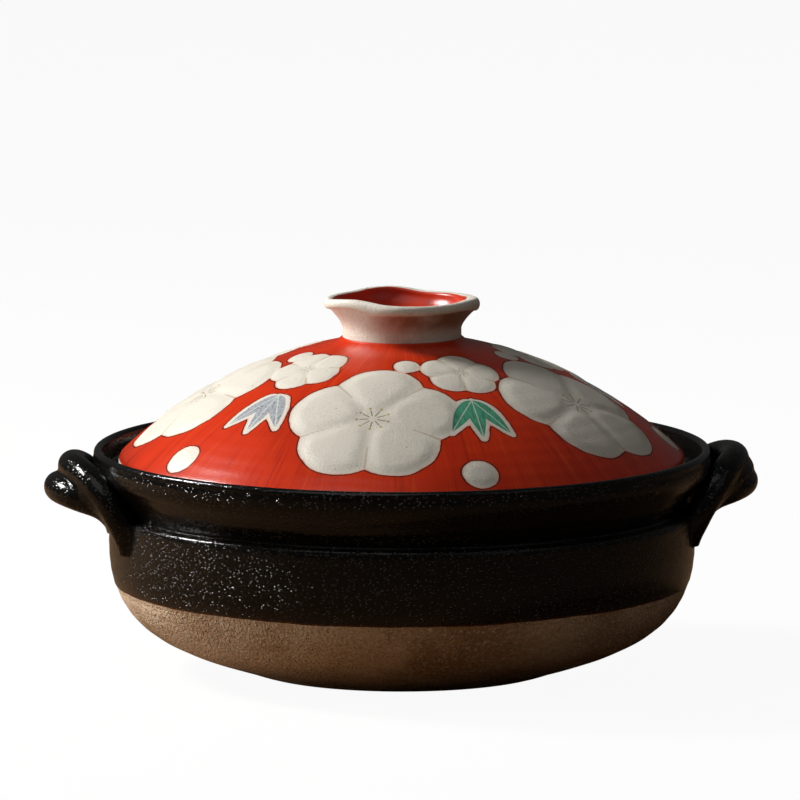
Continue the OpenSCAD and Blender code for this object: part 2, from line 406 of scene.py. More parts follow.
class Sheet(Graph):
    """A new material with its shader, and the place that its patterns read."""

    def __init__(self, name: str) -> None:
        """Makes the material.

        Args:
            name: The material's name.
        """
        self.material = bpy.data.materials.new(name)
        self.material.use_nodes = True
        self.tree = self.material.node_tree
        self.shader = self.tree.nodes["Principled BSDF"]
        self.place = self.add(Kind.PLACE, None, (), "Object")

    def stored(self, name: str) -> tuple[NodeSocket, dict[str, NodeSocket]]:
        """Returns a stored row of three numbers, whole and as its parts."""
        whole = self.add(Kind.STORED, {"attribute_name": name}, (), "Vector")
        return whole, self.add(Kind.SPLIT, None, (whole,)).node.outputs

    def masks(self, *rows: tuple[object, ...]) -> list[NodeSocket]:
        """Returns shares that change smoothly: each row is a pattern, its two ends and their shares."""
        return [self.add(Kind.RANGE, SMOOTH, row) for row in rows]

    def coats(self, ground: NodeSocket | str, *layers: tuple[NodeSocket, NodeSocket | str]) -> NodeSocket:
        """Lays paints over a ground, each where its mask says.

        Args:
            ground: The colour underneath, made or in hex.
            layers: The mask and the paint of each coat.

        Returns:
            The colour.
        """
        for mask, paint in layers:
            under, over = (linear(c) if isinstance(c, str) else c for c in (ground, paint))
            ground = self.add(Kind.MIX, COLOUR, {0: mask, MIX_A: under, MIX_B: over}, MIX_OUT)
        return ground

    def relief(self, *layers: tuple[NodeSocket, NodeSocket | float, float]) -> NodeSocket:
        """Lays bumps over one another.

        Args:
            layers: The height, strength, and depth in millimetres of each.

        Returns:
            The normal.
        """
        under = {}
        for height, strength, depth in layers:
            inputs = {"Height": height, "Strength": strength, "Distance": depth * MM, **under}
            under = {"Normal": self.add(Kind.BUMP, None, inputs)}
        return under["Normal"]

    def finish(self, **inputs: NodeSocket) -> Material:
        """Links the shader's inputs and sets the refraction of a fired glaze.

        Args:
            inputs: A socket for each input, with _ for each space in its name.

        Returns:
            The material.
        """
        for name, value in inputs.items():
            self.tree.links.new(value, self.shader.inputs[name.replace("_", " ")])
        self.shader.inputs["IOR"].default_value = 1.5
        return self.material


@dataclass(frozen=True)
class DippedStoneware:
    """Iron-black glaze over sandy stoneware, dipped with the foot left bare.

    The glaze gives a satin, nearly black skin. Sand under it makes it sparkle in grains where the
    light grazes the wall, and less on the wiped collar. It thins to brown and then to a rust line
    where the dip ended. The bare clay below is dry, tan and rough with sand. The grains are drawn
    as coarse as they need to be to show.
    """

    name: str = "iron_black_glaze_on_sandy_stoneware"
    black: str = "#0B0A09"
    black_thin: str = "#13100D"
    brown: str = "#2A1D13"
    rust: str = "#5E3119"
    clay: str = "#DBBD9D"
    clay_dark: str = "#AE8862"
    sand: str = "#E9DAC4"
    grain: float = 1.85
    fine_grain: float = 0.7
    lumps: float = 9.0
    sand_grain: float = 1.4
    grit: float = 1.5
    trim_line: float = 1.2
    edge_wave: float = 6.0
    edge_reach: float = 0.9
    rust_width: float = 1.1
    lump_rise: float = 1.0
    grain_rise: float = 0.64
    fine_rise: float = 0.1
    line_rise: float = 0.5
    sand_rise: float = 1.2
    grit_rise: float = 0.9
    clay_roughness: float = 0.9
    gloss: float = 0.15
    gloss_change: float = 0.05
    mirror: float = 0.3
    sparkle: float = 1.0

    def build(self) -> Material:
        """Builds the material.

        Returns:
            The material, which reads the attributes glaze_line, in metres, and sandiness.
        """
        sheet = Sheet(self.name)
        add = sheet.add
        glazed, skin = self.glaze_skin(sheet)
        clay, clay_bump = self.bare_clay(sheet)
        grain = self.sand_grains(sheet, self.grain)
        fine = add(Kind.NOISE, None, patches(sheet.place, self.fine_grain, 1.0))
        lumps = add(Kind.NOISE, None, patches(sheet.place, self.lumps, 2.0))
        glossy, dull = self.gloss - self.gloss_change, self.gloss + self.gloss_change
        shine = add(Kind.RANGE, None, (fine, 0.3, 0.7, glossy, dull))
        roughness = add(Kind.MIX, NUMBER, {0: glazed, 2: self.clay_roughness, 3: shine})
        sandy = add(Kind.STORED, {"attribute_name": "sandiness"}, (), "Fac")
        bump = sheet.relief(
            (lumps, 0.18, self.lump_rise), (grain, sandy, self.grain_rise), (fine, sandy, self.fine_rise)
        )
        normal = add(Kind.MIX, ARROW, {0: glazed, 4: clay_bump, 5: bump}, 1)
        mirror = add(Kind.RANGE, None, (grain, 0.0, 0.5, self.mirror, self.sparkle))
        colour = sheet.coats(clay, (glazed, skin))
        return sheet.finish(
            Base_Color=colour, Roughness=roughness, Normal=normal, Specular_IOR_Level=mirror
        )

    def sand_grains(self, sheet: Sheet, spacing: float) -> NodeSocket:
        """Adds the height of round grains that lie flat in the clay, denser in some places.

        Args:
            sheet: The material.
            spacing: Distance between the grains in millimetres.

        Returns:
            The height.
        """
        flat = sheet.add(Kind.VECTOR, "MULTIPLY", (sheet.place, (1.0, 1.0, 1.5)))
        inputs = {"Vector": flat, "Scale": 1 / (spacing * MM), "Smoothness": 0.3}
        cells = sheet.add(Kind.CELLS, {"feature": "SMOOTH_F1"}, inputs, "Distance")
        cloudy = sheet.add(Kind.NOISE, None, patches(sheet.place, 3.2, 1.0))
        shares = sheet.masks((cells, 0.0, 0.42, 1.0, 0.0), (cloudy, 0.38, 0.6, 0.45, 1.0))
        return sheet.add(Kind.MATH, "MULTIPLY", shares)

    def glaze_skin(self, sheet: Sheet) -> tuple[NodeSocket, NodeSocket]:
        """Adds the mask of the glazed part and the glaze's colour.

        Args:
            sheet: The material.

        Returns:
            The glazed share and the colour.
        """
        add = sheet.add
        line = add(Kind.STORED, {"attribute_name": "glaze_line"}, (), "Fac")
        ragged = add(Kind.NOISE, None, patches(sheet.place, self.edge_wave, 4.0))
        cloudy = add(Kind.NOISE, None, patches(sheet.place, 20.0, 4.0))
        height = add(Kind.SPLIT, None, (sheet.place,), "Z")
        above = add(Kind.MATH, "SUBTRACT", (height, line))
        wavy = add(Kind.MATH, "MULTIPLY_ADD", (ragged, self.edge_reach * MM, above))
        glazed, thin, thinner, rusty = sheet.masks(
            (wavy, 0.0003, 0.0006),
            (cloudy, 0.45, 0.75),
            (wavy, 0.0, 0.009, 0.7, 0.0),
            (wavy, 0.0005, 0.0005 + self.rust_width * MM, 1.0, 0.0),
        )
        coats = ((thin, self.black_thin), (thinner, self.brown), (rusty, self.rust))
        return glazed, sheet.coats(self.black, *coats)

    def bare_clay(self, sheet: Sheet) -> tuple[NodeSocket, NodeSocket]:
        """Adds the bare clay's colour and relief.

        Args:
            sheet: The material.

        Returns:
            The colour and the normal.
        """
        level = sheet.add(Kind.VECTOR, "MULTIPLY", (sheet.place, (0.03, 0.03, 1.0)))
        trim = sheet.add(Kind.NOISE, None, patches(level, self.trim_line, 3.0))
        sand = sheet.add(Kind.NOISE, None, patches(sheet.place, self.sand_grain, 2.0))
        cloudy = sheet.add(Kind.NOISE, None, patches(sheet.place, 36.0, 4.0))
        shade, grains, pits = sheet.masks(
            (cloudy, 0.35, 0.7), (sand, 0.52, 0.68, 0.0, 0.7), (sand, 0.42, 0.28, 0.0, 0.6)
        )
        grit = self.sand_grains(sheet, self.grit)
        coats = ((shade, self.clay_dark), (grains, self.sand), (pits, self.clay_dark))
        bump = sheet.relief(
            (trim, 0.35, self.line_rise), (sand, 1.0, self.sand_rise), (grit, 1.0, self.grit_rise)
        )
        return sheet.coats(self.clay, *coats), bump


@dataclass(frozen=True)
class PaintedGlaze:
    """Brushed overglaze colours on a cream stoneware glaze, fired glossy.

    The red is brushed outwards from the knob, so it shows fine rays of thick and thin paint. The
    cream is a satin glaze with the sand's speckle in it and a few iron spots. A thin brown line
    with a pink bleed parts them. Leaves are thin green or grey paint, streaked along their length.
    """

    name: str = "brushed_red_and_cream_glaze"
    red: str = "#CB310D"
    red_thick: str = "#921C08"
    red_thin: str = "#D64618"
    cream: str = "#DBD4C6"
    cream_dark: str = "#C6BFB1"
    bleed: str = "#E0A188"
    line: str = "#4E2118"
    # Painted shade: darker tan in the creases where raised petals meet.
    fold: str = "#B7A48C"
    clay: str = "#C09C76"
    green: str = "#4FA07F"
    green_dark: str = "#2A6A50"
    grey: str = "#A3A5AA"
    grey_dark: str = "#54565B"
    rib: str = "#CFDCCB"
    stamen: str = "#6A5B33"
    pollen: str = "#A98F45"
    spot: str = "#7D6A50"
    rays: float = 34.0
    speckle: float = 1.0
    hand: float = 9.0
    shake: float = 1.8
    line_out: float = 0.4
    cream_satin: float = 0.36
    red_gloss: float = 0.14
    bare_roughness: float = 0.9
    leaf_length: float = 28.0
    leaf_width: float = 4.3
    leaf_spread: float = 31.0
    stamens: int = 9

    def build(self) -> Material:
        """Builds the material.

        Returns:
            The material, which reads the attributes painting, heart and leaf in millimetres.
        """
        sheet = Sheet(self.name)
        add = sheet.add
        marks = sheet.stored("painting")[1]
        shaky = add(Kind.NOISE, None, patches(sheet.place, self.hand, 3.0))
        shaken = add(Kind.MATH, "MULTIPLY_ADD", (shaky, self.shake, marks["X"]))
        reach = add(Kind.MATH, "SUBTRACT", (shaken, self.shake / 2))
        red, ray = self.red_ground(sheet)
        cream, speckle = self.cream_ground(sheet)
        away = add(Kind.MATH, "SUBTRACT", (reach, self.line_out))
        off = add(Kind.MATH, "ABSOLUTE", (away,))
        pressed = add(Kind.MATH, "MULTIPLY_ADD", (ray, -0.4, off))
        bare = add(Kind.MATH, "MULTIPLY_ADD", (shaky, 1.2, marks["Z"]))
        # The first mask lays painted shade along the creases between raised petals.
        petal_seam_shade, bleeding, is_red, lined, unglazed = sheet.masks(
            (marks["Y"], 0.15, 0.6, 0.75, 0.0),
            (reach, -1.2, 0.0, 0.0, 0.75),
            (reach, -0.12, 0.12),
            (pressed, 0.05, 0.3, 0.9, 0.0),
            (bare, 0.5, 0.8),
        )
        coats = ((petal_seam_shade, self.fold), (bleeding, self.bleed), (is_red, red), (lined, self.line))
        outlined = sheet.coats(cream, *coats)
        painted = self.flower_hearts(sheet, self.leaves(sheet, outlined))
        colour = sheet.coats(painted, (unglazed, self.clay))
        gloss = add(Kind.RANGE, None, (is_red, 0.0, 1.0, self.cream_satin, self.red_gloss))
        satin = add(Kind.MATH, "MULTIPLY_ADD", (speckle, 0.12, gloss))
        roughness = add(Kind.MIX, NUMBER, {0: unglazed, 2: satin, 3: self.bare_roughness})
        sandiness = add(Kind.RANGE, None, (is_red, 0.0, 1.0, 0.3, 0.07))
        normal = sheet.relief((speckle, sandiness, 0.4), (ray, 0.16, 0.6), (is_red, 0.4, 0.3))
        return sheet.finish(Base_Color=colour, Roughness=roughness, Normal=normal)

    def red_ground(self, sheet: Sheet) -> tuple[NodeSocket, NodeSocket]:
        """Adds the red, brushed outwards from the knob.

        Args:
            sheet: The material.

        Returns:
            The colour and the height of the brush marks.
        """
        flat = sheet.add(Kind.VECTOR, "MULTIPLY", (sheet.place, (1.0, 1.0, 0.0)))
        length = sheet.add(Kind.VECTOR, "LENGTH", (flat,), "Value")
        heading = sheet.add(Kind.VECTOR, "NORMALIZE", (flat,))
        fan = sheet.add(Kind.VECTOR, "SCALE", {0: heading, "Scale": self.rays})
        along = sheet.add(Kind.MATH, "MULTIPLY", (length, 20.0))
        place = sheet.add(Kind.VECTOR, "ADD", (fan, sheet.add(Kind.JOIN, None, {2: along})))
        inputs = {"Vector": place, "Scale": 1.0, "Detail": 4.0, "Roughness": 0.65}
        ray = sheet.add(Kind.NOISE, None, inputs)
        patch = sheet.add(Kind.NOISE, None, patches(sheet.place, 40.0, 3.0))
        shares = sheet.masks(
            (ray, 0.5, 0.78, 0.0, 0.7), (ray, 0.46, 0.3, 0.0, 0.75), (patch, 0.45, 0.75, 0.0, 0.45)
        )
        paints = (self.red_thick, self.red_thin, self.red_thick)
        return sheet.coats(self.red, *zip(shares, paints)), ray

    def cream_ground(self, sheet: Sheet) -> tuple[NodeSocket, NodeSocket]:
        """Adds the cream glaze with its speckle and a few iron spots.

        Args:
            sheet: The material.

        Returns:
            The colour and the speckle's height.
        """
        speckle = sheet.add(Kind.NOISE, None, patches(sheet.place, self.speckle, 2.0))
        cloud = sheet.add(Kind.NOISE, None, patches(sheet.place, 33.0, 3.0))
        darker = sheet.add(Kind.MATH, "MULTIPLY", (speckle, cloud))
        dots = sheet.add(Kind.CELLS, None, {"Vector": sheet.place, "Scale": 1 / (7.0 * MM)}, "Distance")
        shade, spots = sheet.masks((darker, 0.22, 0.4, 0.0, 0.55), (dots, 0.035, 0.07, 0.7, 0.0))
        return sheet.coats(self.cream, (shade, self.cream_dark), (spots, self.spot)), speckle

    def leaves(self, sheet: Sheet, ground: NodeSocket) -> NodeSocket:
        """Adds the sprigs of three narrow leaves.

        Args:
            sheet: The material.
            ground: The colour under them.

        Returns:
            The colour.
        """
        add = sheet.add
        source, spot = sheet.stored("leaf")
        aside = add(Kind.MATH, "ABSOLUTE", (spot["Y"],))
        turn = math.radians(self.leaf_spread)
        edges = []
        ribs = []
        for cos, sin in ((1.0, 0.0), (math.cos(turn), math.sin(turn))):
            ahead = add(Kind.MATH, "MULTIPLY", (spot["X"], cos / self.leaf_length))
            along = add(Kind.MATH, "MULTIPLY_ADD", (aside, sin / self.leaf_length, ahead))
            back = add(Kind.MATH, "MULTIPLY", (spot["X"], -sin))
            across = add(Kind.MATH, "MULTIPLY_ADD", (aside, cos, back))
            off = add(Kind.MATH, "ABSOLUTE", (across,))
            root = add(Kind.MATH, "SQRT", (along,))
            rest = add(Kind.MATH, "SUBTRACT", (1.0, along))
            swell = add(Kind.MATH, "MULTIPLY", (root, rest))
            edges.append(add(Kind.MATH, "MULTIPLY_ADD", (swell, -2.6 * self.leaf_width, off)))
            ribs.append(off)
        beyond, rib = (add(Kind.MATH, "MINIMUM", pair) for pair in (edges, ribs))
        stretched = add(Kind.VECTOR, "MULTIPLY", (source, (0.15, 1.3, 3.0)))
        streak = add(Kind.NOISE, None, {"Vector": stretched, "Scale": 1.2, "Detail": 3.0})
        stipple = add(Kind.NOISE, None, patches(sheet.place, 0.9, 2.0))
        shape, rim, streaky, dotted, vein = sheet.masks(
            (beyond, -0.45, -0.15, 1.0, 0.0),
            (beyond, -1.6, -0.3, 0.0, 0.5),
            (streak, 0.45, 0.68, 0.0, 0.8),
            (stipple, 0.5, 0.64, 0.0, 0.8),
            (rib, 0.15, 0.42, 0.7, 0.0),
        )
        near = add(Kind.RANGE, None, (spot["Z"], 0.4, 0.6))
        mask = add(Kind.MATH, "MULTIPLY", (shape, near))
        kind = add(Kind.RANGE, None, (spot["Z"], 1.0, 2.0))
        dark = add(Kind.MATH, "MAXIMUM", (rim, streaky))
        green = sheet.coats(self.green, (dark, self.green_dark))
        grey = sheet.coats(self.grey, (dotted, self.grey_dark))
        return sheet.coats(ground, (mask, sheet.coats(green, (kind, grey), (vein, self.rib))))

    def flower_hearts(self, sheet: Sheet, ground: NodeSocket) -> NodeSocket:
        """Adds the ring of stamens in the middle of each blossom.

        Args:
            sheet: The material.
            ground: The colour under them.

        Returns:
            The colour.
        """
        add = sheet.add
        spot = sheet.stored("heart")[1]
        flat = add(Kind.JOIN, None, (spot["X"], spot["Y"]))
        length = add(Kind.VECTOR, "LENGTH", (flat,), "Value")
        turn = add(Kind.MATH, "ARCTAN2", (spot["Y"], spot["X"]))
        turned = add(Kind.MATH, "PINGPONG", (turn, math.pi / self.stamens))
        sideways = add(Kind.MATH, "SINE", (turned,))
        aside = add(Kind.MATH, "MULTIPLY", (sideways, length))
        past = add(Kind.MATH, "SUBTRACT", (length, 6.2))
        tip = add(Kind.JOIN, None, (past, aside))
        tip_off = add(Kind.VECTOR, "LENGTH", (tip,), "Value")
        inner, thread, ends, tips = sheet.masks(
            (length, 1.4, 2.0),
            (aside, 0.14, 0.34, 0.85, 0.0),
            (length, 5.0, 5.4, 1.0, 0.0),
            (tip_off, 0.45, 0.7, 0.9, 0.0),
        )
        within = add(Kind.MATH, "MULTIPLY", (inner, ends))
        threads = add(Kind.MATH, "MULTIPLY", (within, thread))
        near = add(Kind.RANGE, None, (spot["Z"], 0.4, 0.6))
        shares = [add(Kind.MATH, "MULTIPLY", (mark, near)) for mark in (threads, tips)]
        return sheet.coats(ground, *zip(shares, (self.stamen, self.pollen)))


@dataclass(frozen=True)
class KnobGlaze:
    """Thin cream glaze over the knob's stoneware, with the red run over the hollow inside.

    The cream is satin and sandy. Up the neck under the rim and on the side away from the key lamp it
    turns brown: painted shade, drawn as glaze running thin. The red in the hollow is glossy, and
    darker where it pooled.
    """

    name: str = "thin_cream_glaze_with_red_hollow"
    cream: str = "#E4DDCF"
    cream_dark: str = "#CDC2B1"
    # Painted shade: the brown of the cream under the rim and away from the key lamp, drawn as thin glaze.
    shade_brown: str = "#8E5632"
    red: str = "#C2310F"
    red_dark: str = "#7A1D0F"
    sand_grain: float = 0.9
    hollow_roughness: float = 0.28

    def build(self) -> Material:
        """Builds the material.

        Returns:
            The material, which reads the attribute knob: inwards distance, share of painted shade, height.
        """
        sheet = Sheet(self.name)
        add = sheet.add
        marks = sheet.stored("knob")[1]
        sand = add(Kind.NOISE, None, patches(sheet.place, self.sand_grain, 2.0))
        cloud = add(Kind.NOISE, None, patches(sheet.place, 14.0, 4.0))
        # Painted shade: the stored shade share, broken up by clouds, turns the cream brown.
        thin = add(Kind.MATH, "MULTIPLY", (marks["Y"], cloud))
        ragged = add(Kind.MATH, "MULTIPLY_ADD", (cloud, 1.2, marks["X"]))
        shade, shaded_brown, inside, pooled = sheet.masks(
            (sand, 0.42, 0.75, 0.0, 0.8),
            (thin, 0.1, 0.65, 0.0, 0.9),
            (ragged, 0.5, 0.85),
            (cloud, 0.5, 0.8, 0.0, 0.7),
        )
        red = sheet.coats(self.red, (pooled, self.red_dark))
        colour = sheet.coats(self.cream, (shade, self.cream_dark), (shaded_brown, self.shade_brown), (inside, red))
        dry = add(Kind.RANGE, None, (sand, 0.0, 1.0, 0.42, 0.62))
        roughness = add(Kind.MIX, NUMBER, {0: inside, 2: dry, 3: self.hollow_roughness})
        strength = add(Kind.RANGE, None, (inside, 0.0, 1.0, 0.6, 0.1))
        normal = sheet.relief((sand, strength, 0.5))
        return sheet.finish(Base_Color=colour, Roughness=roughness, Normal=normal)


@dataclass
class PotBowl:
    """The thrown bowl with its collar, lip, gutter, seat and foot."""

    radius: float = 136.0
    height: float = 103.5
    belly_z: float = 60.0
    foot_r: float = 70.0
    foot_ring_w: float = 9.0
    foot_hollow: float = 1.5
    wall: float = 7.0
    floor_t: float = 8.0
    collar_r: float = 143.4
    band_z: float = 95.5
    lip_r: float = 140.7
    lip_round: float = 2.4
    neck_r: float = 130.6
    neck_z: float = 75.5
    neck_fillet: float = 0.9
    ledge_w: float = 2.0
    shoulder_h: float = 4.5
    seat_z: float = 91.0
    seat_in_r: float = 122.8
    seat_fillet: float = 3.0
    seat_edge: float = 1.5
    glaze_line_z: float = 41.0
    glaze_wave: float = 1.2
    glaze_t: float = 0.35
    hand: Throwing = Throwing(400, 6.2, 0.12, 0.2, 3.0)

    def outside(self) -> Line:
        """Gives the outside of the bowl.

        Returns:
            Radius and height of points from the foot up to the lip's crest.
        """
        wall_r, foot_r, neck_r, collar_r = self.radius, self.foot_r, self.neck_r, self.collar_r
        belly_z, neck_z, band_z, top = self.belly_z, self.neck_z, self.band_z, self.height
        flare = collar_r - neck_r
        rise = band_z - neck_z
        half_band = (top - band_z) / 2
        lip_out_r = self.lip_r + self.lip_round
        lip_z = top - self.lip_round
        soft = self.neck_fillet
        belly = (wall_r, belly_z)
        swell = (foot_r + 0.6 * (wall_r - foot_r), 0.19 * belly_z)
        bank = (wall_r - self.ledge_w / 2, neck_z)
        ledge = (neck_r + self.ledge_w, neck_z)
        edge = (wall_r, neck_z - self.shoulder_h)
        hollow = (neck_r + 0.15 * flare, neck_z + 0.35 * rise)
        wall_line = curve([(foot_r, 0.0), swell, (wall_r, 0.32 * belly_z), belly], 56)
        shoulder = curve([edge, (wall_r, neck_z - self.shoulder_h / 4), bank, ledge], 14)
        upright = straight(belly, shoulder[0], 4)
        crease = [(neck_r + out * soft, neck_z + up * soft) for out, up in ((1, 0), (0.4, 0.15), (0.2, 0.5))]
        cove = curve([(neck_r, neck_z), hollow, (collar_r, band_z - 0.2 * rise), (collar_r, band_z)], 22)
        low, middle = top - 1.5 * half_band, top - half_band
        band = curve([(collar_r, low), (collar_r, middle), (lip_out_r, middle), (lip_out_r, lip_z)], 8)
        lip = arc((self.lip_r, lip_z), self.lip_round, 0, 90, 8)[1:]
        return wall_line + upright + shoulder + crease + cove[1:] + band + lip

    def inside(self) -> Line:
        """Gives the inside of the bowl.

        Returns:
            Radius and height of points from the lip's crest down to the middle of the floor.
        """
        inner_r = self.radius - self.wall
        slant = self.wall * math.sin(math.radians(45))
        corner_r = self.lip_r - self.lip_round - self.seat_fillet
        edge = (self.seat_in_r + self.seat_edge, self.seat_z - self.seat_edge)
        throat_z = self.neck_z - self.shoulder_h
        belly = (inner_r, self.belly_z)
        turn_r = self.foot_r + 0.6 * (self.radius - self.foot_r) - slant
        middle = (0.0, self.floor_t)
        lip = arc((self.lip_r, self.height - self.lip_round), self.lip_round, 90, 180, 8)[1:]
        fillet = arc((corner_r, self.seat_z + self.seat_fillet), self.seat_fillet, 0, -90, 8)
        inner_edge = arc(edge, self.seat_edge, 90, 180, 6)
        bulge_guide = [(self.seat_in_r, self.neck_z), (self.seat_in_r, throat_z), (inner_r, throat_z), belly]
        bulge = curve(bulge_guide, 10)
        deep = (inner_r, 0.32 * self.belly_z + slant)
        well = curve([belly, deep, (turn_r, self.floor_t), (self.foot_r, self.floor_t)], 30)[1:]
        drop = straight(lip[-1], fillet[0], 5)
        seat = straight(fillet[-1], inner_edge[0], 7)
        throat = straight(inner_edge[-1], bulge[0], 4)
        floor = straight(well[-1], middle, 10) + [middle]
        return lip + drop + fillet + seat + inner_edge + throat + bulge + well + floor

    def foot(self) -> Line:
        """Gives the foot ring and its hollow.

        Returns:
            Radius and height of points from the middle to the ring's outer edge.
        """
        ring_in = self.foot_r - self.foot_ring_w
        hollow = [(r, self.foot_hollow) for r in np.linspace(0, ring_in - 2 * self.foot_hollow, 10)]
        return hollow + [(r, 0.0) for r in np.linspace(ring_in, self.foot_r, 5)[:-1]]

    def wall_radius(self, z: np.ndarray) -> np.ndarray:
        """Returns the wall's outside radius at each height between the foot and the ledge."""
        line = [p for p in self.outside() if p[1] < self.neck_z]
        return np.interp(z, [p[1] for p in line], [p[0] for p in line])

    def glaze_line(self, turn: np.ndarray) -> np.ndarray:
        """Gives the height of the dip line.

        Args:
            turn: Directions round the pot, in radians.

        Returns:
            The height at each.
        """
        slow = np.sin(turn + 0.6) + 0.5 * np.sin(2 * turn + 2.1) + 0.3 * np.sin(5 * turn + 0.4)
        quick = 0.22 * np.sin(11 * turn + 1.3) + 0.14 * np.sin(23 * turn)
        return self.glaze_line_z + self.glaze_wave * 0.5 * (slow + quick)

    def sandiness(self, z: np.ndarray) -> np.ndarray:
        """Gives how strongly sand shows through the glaze: most on the wall, least in the cove.

        Args:
            z: Heights.

        Returns:
            The strength at each.
        """
        cove = smooth_step(self.neck_z - 0.5, self.neck_z + 0.6, z)
        band = smooth_step(self.band_z - 5.0, self.band_z - 1.0, z)
        lip = smooth_step(self.height - 3.4, self.height - 1.8, z)
        return 1 - 0.75 * cove + 0.45 * band - 0.45 * lip

    def build(self, tree: TurningTree, material: Material) -> None:
        """Builds and dresses the bowl.

        Args:
            tree: The turning tree.
            material: The dipped stoneware.
        """
        outline = self.foot() + self.outside() + self.inside()
        mesh = tree.turn("pot_bowl_thrown", outline[::-1], self.hand, material)
        points, facing = rows_of(mesh)
        x, y, z = points.T.copy()
        out = np.hypot(x, y)
        outward = (facing[:, 0] * x + facing[:, 1] * y) / np.maximum(out, 1)
        inner = (z > self.floor_t - 1) & (outward < 0) & (out < self.collar_r - 8)
        inner |= (facing[:, 2] > 0.3) & (z < self.seat_z - 20)
        line = self.glaze_line(np.arctan2(y, x))
        bare = np.where(inner, 0, 1 - smooth_step(-0.4, 0.4, z - line)) * smooth_step(0.5, 3, z)
        points -= facing * (bare * self.glaze_t)[:, None]
        move_points(mesh, points)
        store(mesh, "glaze_line", np.where(inner, -1.0, line * MM))
        store(mesh, "sandiness", self.sandiness(points[:, 2]))
        add_piece("pot_bowl_thrown", mesh, "pot", "black_glaze", "pot_bowl")


class Side(Enum):
    """Which side of the pot an ear is on."""

    LEFT = -1
    RIGHT = 1


